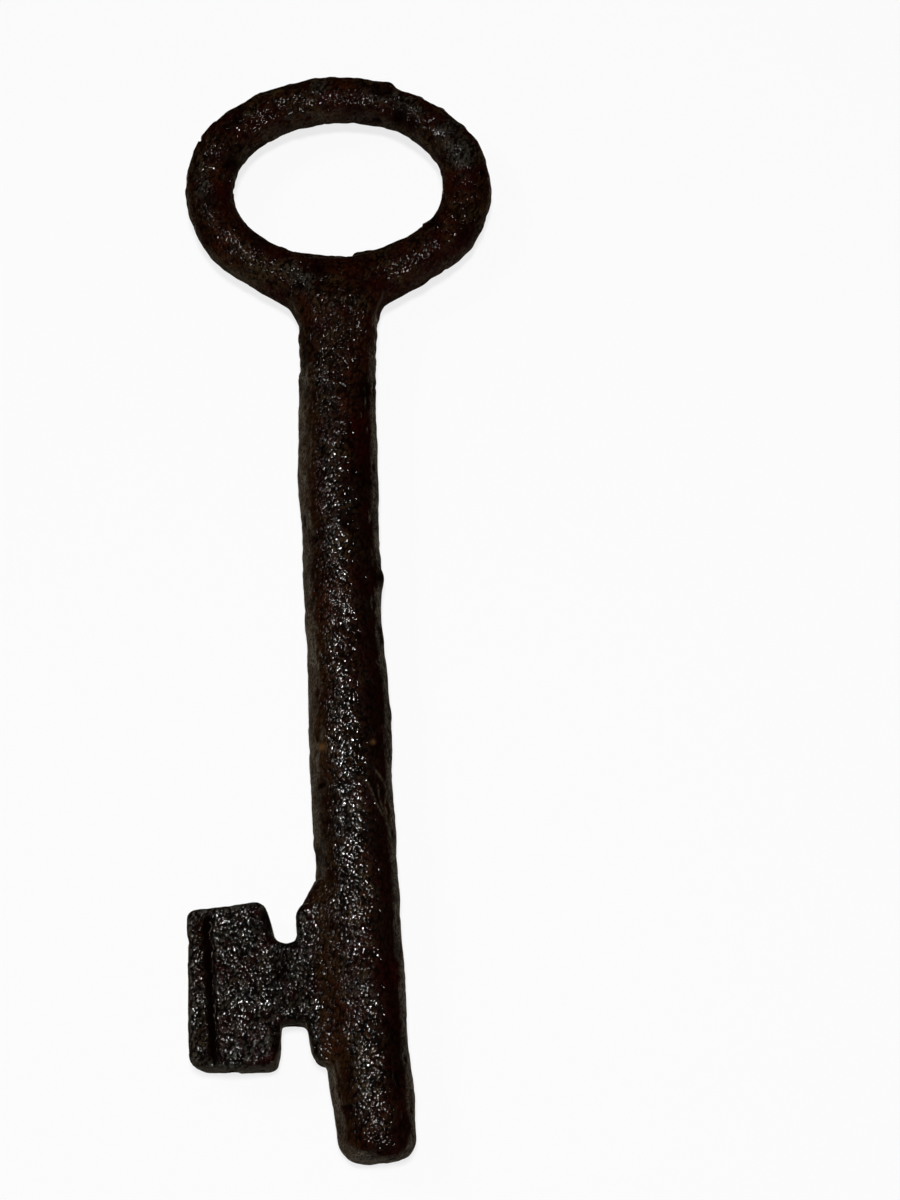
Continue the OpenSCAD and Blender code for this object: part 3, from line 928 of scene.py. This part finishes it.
# Depth and light are the crust's own colours, grain_h and lumpy heights in millimetres, the rest shares
PLAIN = dict(
    depth=(5, 1, 0), light=(36, 19, 8), khaki=0.5, grey_and_sheen=0.15, maroon=0.6, rust=0.3, matt=0.5,
    side_sheen_level=0.8, least_side_sheen=0.5, gaps=0.8, lumpy=0.11, grain_h=0.115,
)
LOOKS = dict(
    bow_iron=dict(PLAIN, depth=(9, 3, 1), khaki=0.4, maroon=0.7, rust=0.45, side_sheen_level=0.32, gaps=0.6, lumpy=0.20),
    shank_iron=dict(PLAIN, grey_and_sheen=0.12, maroon=0.5, matt=0.35, side_sheen_level=0.9),
    bit_iron=dict(
        PLAIN, light=(29, 24, 17), khaki=0.3, grey_and_sheen=0.7, rust=0.1, matt=0.4,
        side_sheen_level=0.6, least_side_sheen=0.15, gaps=0.95, lumpy=0.10, grain_h=0.145,
    ),
    spelter=PLAIN,
)


def colour(r, g, b):
    """A colour given as it looks on screen, from 0 to 255."""
    linear = [((n / 255 + 0.055) / 1.055) ** 2.4 if n > 10 else n / 255 / 12.92 for n in (r, g, b)]
    return (*linear, 1.0)


class Nodes:
    """Short ways to add and link shader nodes."""

    def __init__(self, name):
        self.material = bpy.data.materials.new(name)
        self.material.use_nodes = True
        self.tree = self.material.node_tree
        self.tree.nodes.clear()

    def add(self, kind, **settings):
        node = self.tree.nodes.new("ShaderNode" + kind)
        for key, value in settings.items():
            setattr(node, key, value)
        return node

    def feed(self, target, value):
        """Links an output to the socket, or sets it to a plain value."""
        if isinstance(value, bpy.types.NodeSocket):
            self.tree.links.new(value, target)
        else:
            target.default_value = value

    def made(self, kind, output, inputs, **settings):
        """An output of a new node with these inputs."""
        node = self.add(kind, **settings)
        for name, value in inputs.items():
            self.feed(node.inputs[name], value)
        return node.outputs[output]

    def math(self, operation, a, b):
        return self.made("Math", 0, {0: a, 1: b}, operation=operation)

    def chain(self, operation, first, *others):
        """The operation on all the values, one after the other."""
        for other in others:
            first = self.math(operation, first, other)
        return first

    def times(self, *values):
        return self.chain("MULTIPLY", *values)

    def plus(self, *values):
        return self.chain("ADD", *values)

    def most(self, *values):
        return self.chain("MAXIMUM", *values)

    def rest(self, share):
        return self.math("SUBTRACT", 1.0, share)

    def attribute(self, name):
        return self.add("Attribute", attribute_name=name).outputs["Fac"]

    def noise(self, place, name):
        scale, detail, rough = NOISES[name]
        inputs = {"Vector": place, "Scale": scale, "Detail": detail, "Roughness": rough}
        return self.made("TexNoise", "Fac", inputs)

    def torn(self, place, scale, reach):
        """The place moved about at random, up to about half the reach."""
        moves = self.made("TexNoise", "Color", {"Vector": place, "Scale": scale, "Detail": 2.0})
        inputs = {0: moves, 1: (reach, reach, reach), 2: place}
        return self.made("VectorMath", "Vector", inputs, operation="MULTIPLY_ADD")

    def drawn_out(self, place, lean, long):
        """The place in a leaning frame, where a texture is that many times longer."""
        inputs = {"Vector": place, "Rotation": (0, 0, -lean), "Scale": (1, long, 1)}
        return self.made("Mapping", "Vector", inputs, vector_type="TEXTURE")

    def ramp(self, value, name, *ends):
        low, high, start, end = (*RAMPS[name], *ends, 0.0, 1.0)[:4]
        inputs = {"Value": value, "From Min": low, "From Max": high, "To Min": start, "To Max": end}
        return self.made("MapRange", "Result", inputs, interpolation_type="SMOOTHSTEP")

    def mix(self, share, a, b):
        return self.made("Mix", "Result", {"Factor": share, "A": a, "B": b}, data_type="RGBA")

    def lay(self, base, share, name):
        """The base with the named coat over it."""
        tone, *most = COATS[name]
        return self.mix(self.times(share, *most), base, colour(*tone))

    def finish(self, shader):
        out = self.add("OutputMaterial")
        self.feed(out.inputs["Surface"], shader)
        return self.material


class Iron(Nodes):
    """Corroded, oiled iron with the look of one slot."""

    def __init__(self, slot):
        super().__init__(slot + "_look")
        self.look = LOOKS[slot]
        place = self.add("TexCoord").outputs["Object"]
        self.mm = self.made("VectorMath", "Vector", {0: place, "Scale": 1 / MM}, operation="SCALE")
        self.broad = self.noise(self.mm, "broad")
        self.patch = self.noise(self.mm, "patch")
        drawn = self.drawn_out(self.mm, DRAWN_LEAN, DRAWN_LONG)
        self.grain = self.noise(drawn, "grain")
        self.fine = self.noise(drawn, "fine")
        leaning = self.drawn_out(self.torn(self.mm, TEARS_PER_MM, GRAIN_TEAR), GRAIN_LEAN, GRAIN_LONG)
        self.apart = self.made("TexVoronoi", "Distance", {"Vector": leaning, "Scale": GRAINS_PER_MM})
        cell = self.made("SeparateColor", 0, {0: self.apart.node.outputs["Color"]})
        parts = ((cell, TINT_CELLS), (self.grain, TINT_GRAIN), (self.fine, TINT_FINE))
        self.tint = self.plus(*[self.times(*part) for part in parts])
        self.smooth = self.rest(self.times(self.attribute("side"), SIDE_SMOOTH))

    def broken(self, name, noise):
        """The marked share, broken up by the noise."""
        return self.times(self.attribute(name), self.ramp(noise, name))

    def marked(self, name, noise):
        """Patches from the noise and from the marked spots."""
        found = self.times(self.ramp(noise, name), self.look[name])
        factors = [SPOT_SHARES[name]] if name in SPOT_SHARES else []
        return self.most(found, self.times(self.attribute(name), *factors))

    def crust(self):
        """Brown, with khaki patches, grey patches that are partly painted sheen, painted light on the shank's
        left side and painted shade on its right.
        """
        tones = [colour(*self.look[name]) for name in ("depth", "light")]
        base = self.mix(self.ramp(self.tint, "light"), *tones)
        for name, noise in (("khaki", self.patch), ("grey_and_sheen", self.broad)):
            found = self.times(self.marked(name, noise), self.ramp(self.tint, name + "_tint"))
            base = self.lay(base, found, name)
        # Painted light on the shank's left side, painted shade on its right.
        base = self.lay(base, self.broken("left", self.tint), "left")
        return self.lay(base, self.attribute("right"), "right")

    def rusted(self, base):
        """Maroon and rust red patches with torn edges, and orange specks in the red."""
        torn = self.noise(self.mm, "torn")
        found = {}
        for name in ("maroon", "rust"):
            patches = self.marked(name, self.noise(self.mm, name))
            found[name] = self.times(patches, self.ramp(torn, name + "_torn"))
            base = self.lay(base, found[name], name)
        orange = self.times(found["rust"], self.ramp(self.fine, "orange"))
        return self.lay(base, orange, "orange"), found

    def painted_edge_light(self, base):
        """Painted sheen on the flanks, and painted reflection on the bit's rims."""
        patch = self.ramp(self.patch, "side_sheen_patch", self.look["least_side_sheen"], SIDE_SHEEN_MOST)
        flank = self.attribute("flank")
        side_sheen = self.times(flank, self.ramp(self.fine, "side_sheen"), patch, self.look["side_sheen_level"])
        # Painted sheen on the faces turned sideways.
        base = self.lay(base, side_sheen, "side_sheen")
        # Painted reflection on the bit's rims.
        return self.lay(base, self.broken("rim", self.grain), "rim")

    def darkened(self, base):
        """Painted shade in the pits and the groove, black marks and the near-black between grains, both
        partly painted shade, with scratches and specks over them.
        """
        base = self.lay(base, self.most(self.attribute("pit"), self.attribute("dark_and_shade")), "dark_and_shade")
        # Painted shade in the groove.
        base = self.lay(base, self.attribute("groove"), "groove")
        # Near-black between the grains: partly the crust's own tone, partly painted shade in the valleys
        # between them.
        gap = self.times(self.ramp(self.apart, "gap", self.look["gaps"]), self.smooth)
        base = self.lay(base, gap, "gap")
        base = self.lay(base, self.broken("scratch", self.grain), "scratch")
        return self.lay(base, self.attribute("ochre"), "ochre")

    def dullness(self, found):
        """Where the crust is bare of oil and matt."""
        bare = self.times(self.ramp(self.noise(self.mm, "dull"), "dull"), self.look["matt"])
        rust = self.times(found["rust"], DULL_RUST)
        maroon = self.times(found["maroon"], DULL_MAROON)
        return self.most(bare, rust, maroon, self.attribute("groove"), self.attribute("dark_and_shade"))

    def bump(self):
        """The normal, bent by grains, fine texture, scratches and slow swells."""
        rough = self.plus(1.0, self.times(self.attribute("rough"), ROUGH_MORE))
        grains = self.times(self.apart, self.apart, -self.look["grain_h"], self.smooth, rough)
        scratch = self.times(self.attribute("scratch"), SCRATCH_H)
        swell = self.times(self.noise(self.mm, "swell"), self.look["lumpy"])
        height = self.plus(grains, self.times(self.fine, FINE_H), scratch, swell)
        return self.made("Bump", "Normal", {"Strength": 1.0, "Distance": MM, "Height": height})

    def shader(self, base, dull, normal):
        """The crust, and the film of oil as its coat."""
        facing = self.made("LayerWeight", "Facing", {"Blend": 0.5, "Normal": normal})
        turned = self.ramp(facing, "turned")
        shine = self.most(self.ramp(dull, "shine"), self.times(turned, FLANK_DULL))
        film = self.ramp(self.noise(self.mm, "oil"), "oil")
        oil = self.times(self.attribute("oil"), film, self.rest(dull), self.rest(turned))
        bent = {"Normal": normal, "Coat Normal": normal}
        inputs = {"Base Color": base, "Roughness": shine, "Coat Weight": oil, **bent, **OILED}
        return self.made("BsdfPrincipled", "BSDF", inputs)


def iron(slot):
    """Corroded, oiled iron with the slot's look."""
    n = Iron(slot)
    base, found = n.rusted(n.crust())
    base = n.darkened(n.painted_edge_light(base))
    return n.finish(n.shader(base, n.dullness(found), n.bump()))


FLOOR_TONE = 0.94
FLOOR_SEEN_WHITE = 0.8  # how much of the floor's look is plain white


def floor_material():
    """Pale and matt, and nearly plain white to the camera and in reflections."""
    n = Nodes("floor_white")
    matt = n.made("BsdfDiffuse", 0, {"Color": (FLOOR_TONE, FLOOR_TONE, FLOOR_TONE, 1)})
    glow = n.add("Emission").outputs[0]
    rays = n.add("LightPath").outputs
    seen_white = n.most(*[rays[f"Is {kind} Ray"] for kind in ("Camera", "Glossy", "Transmission")])
    return n.finish(n.made("MixShader", 0, {0: n.times(seen_white, FLOOR_SEEN_WHITE), 1: matt, 2: glow}))


FLOOR_REACH = 4.0
BACKDROP_H = 1.2


def add_shape(name, points, faces, material):
    """A new object from points in metres."""
    mesh = bpy.data.meshes.new(name)
    mesh.from_pydata(points, [], faces)
    mesh.materials.append(material)
    return add_object(name, mesh)


def make_floor(height):
    """A level floor, and four walls that low views see."""
    r = FLOOR_REACH
    corners = [(-r, -r), (r, -r), (r, r), (-r, r)]
    low, high = ([(a, b, level) for a, b in corners] for level in (height, height + BACKDROP_H))
    walls = [(side, (side + 1) % 4, 4 + (side + 1) % 4, 4 + side) for side in range(4)]
    pale = floor_material()
    floor = add_shape("floor", low, [(0, 1, 2, 3)], pale)
    backdrop = add_shape("backdrop", low + high, walls, pale)


WORLD_LEVEL = 0.05


def make_world():
    """A little even light from all round."""
    world = bpy.data.worlds.new("studio")
    bpy.context.scene.world = world
    world.use_nodes = True
    nodes = world.node_tree.nodes
    nodes.clear()
    sky = nodes.new("ShaderNodeBackground")
    sky.inputs["Color"].default_value = (1, 1, 1, 1)
    sky.inputs["Strength"].default_value = WORLD_LEVEL
    out = nodes.new("ShaderNodeOutputWorld")
    world.node_tree.links.new(sky.outputs[0], out.inputs["Surface"])


KEY_MIDDLE = Vector((0.002, 0.055, 0))
LAMPS = [  # direction from the key's middle, distance, size, power in watts
    ((0.01, -0.10, 0.99), 0.60, 0.068, 2.9),
    ((-0.55, 0.30, 0.78), 0.75, 0.16, 0.45),
]


def make_lamps():
    for number, (direction, distance, size, power) in enumerate(LAMPS):
        light = bpy.data.lights.new(f"softbox_{number}", "AREA")
        light.shape = "SQUARE"
        light.size = size
        light.energy = power
        lamp = add_object(light.name, light)
        lamp.location = KEY_MIDDLE + Vector(direction).normalized() * distance
        lamp.rotation_euler = (lamp.location - KEY_MIDDLE).to_track_quat("Z", "Y").to_euler()


def make_camera():
    data = bpy.data.cameras.new("camera")
    data.sensor_fit = "VERTICAL"
    data.sensor_height = SENSOR_H
    data.lens = CAMERA_DISTANCE / MM_PER_PIXEL / PICTURE_H * SENSOR_H
    data.clip_start = CLIP_START
    camera = add_object("camera", data)
    turn = Matrix((RIGHT, UP, -AHEAD)).transposed()
    camera.matrix_world = Matrix.Translation(Vector(EYE * MM)) @ turn.to_4x4()
    bpy.context.scene.camera = camera


make_camera()
MATERIALS = {slot: iron(slot) for slot in LOOKS}
pieces = [make_piece(*row, MATERIALS[row[-1]]) for row in PIECES]
make_floor(min(v.co.z for p in pieces for v in p.data.vertices))
make_world()
make_lamps()
bpy.context.scene.view_settings.view_transform = "Standard"
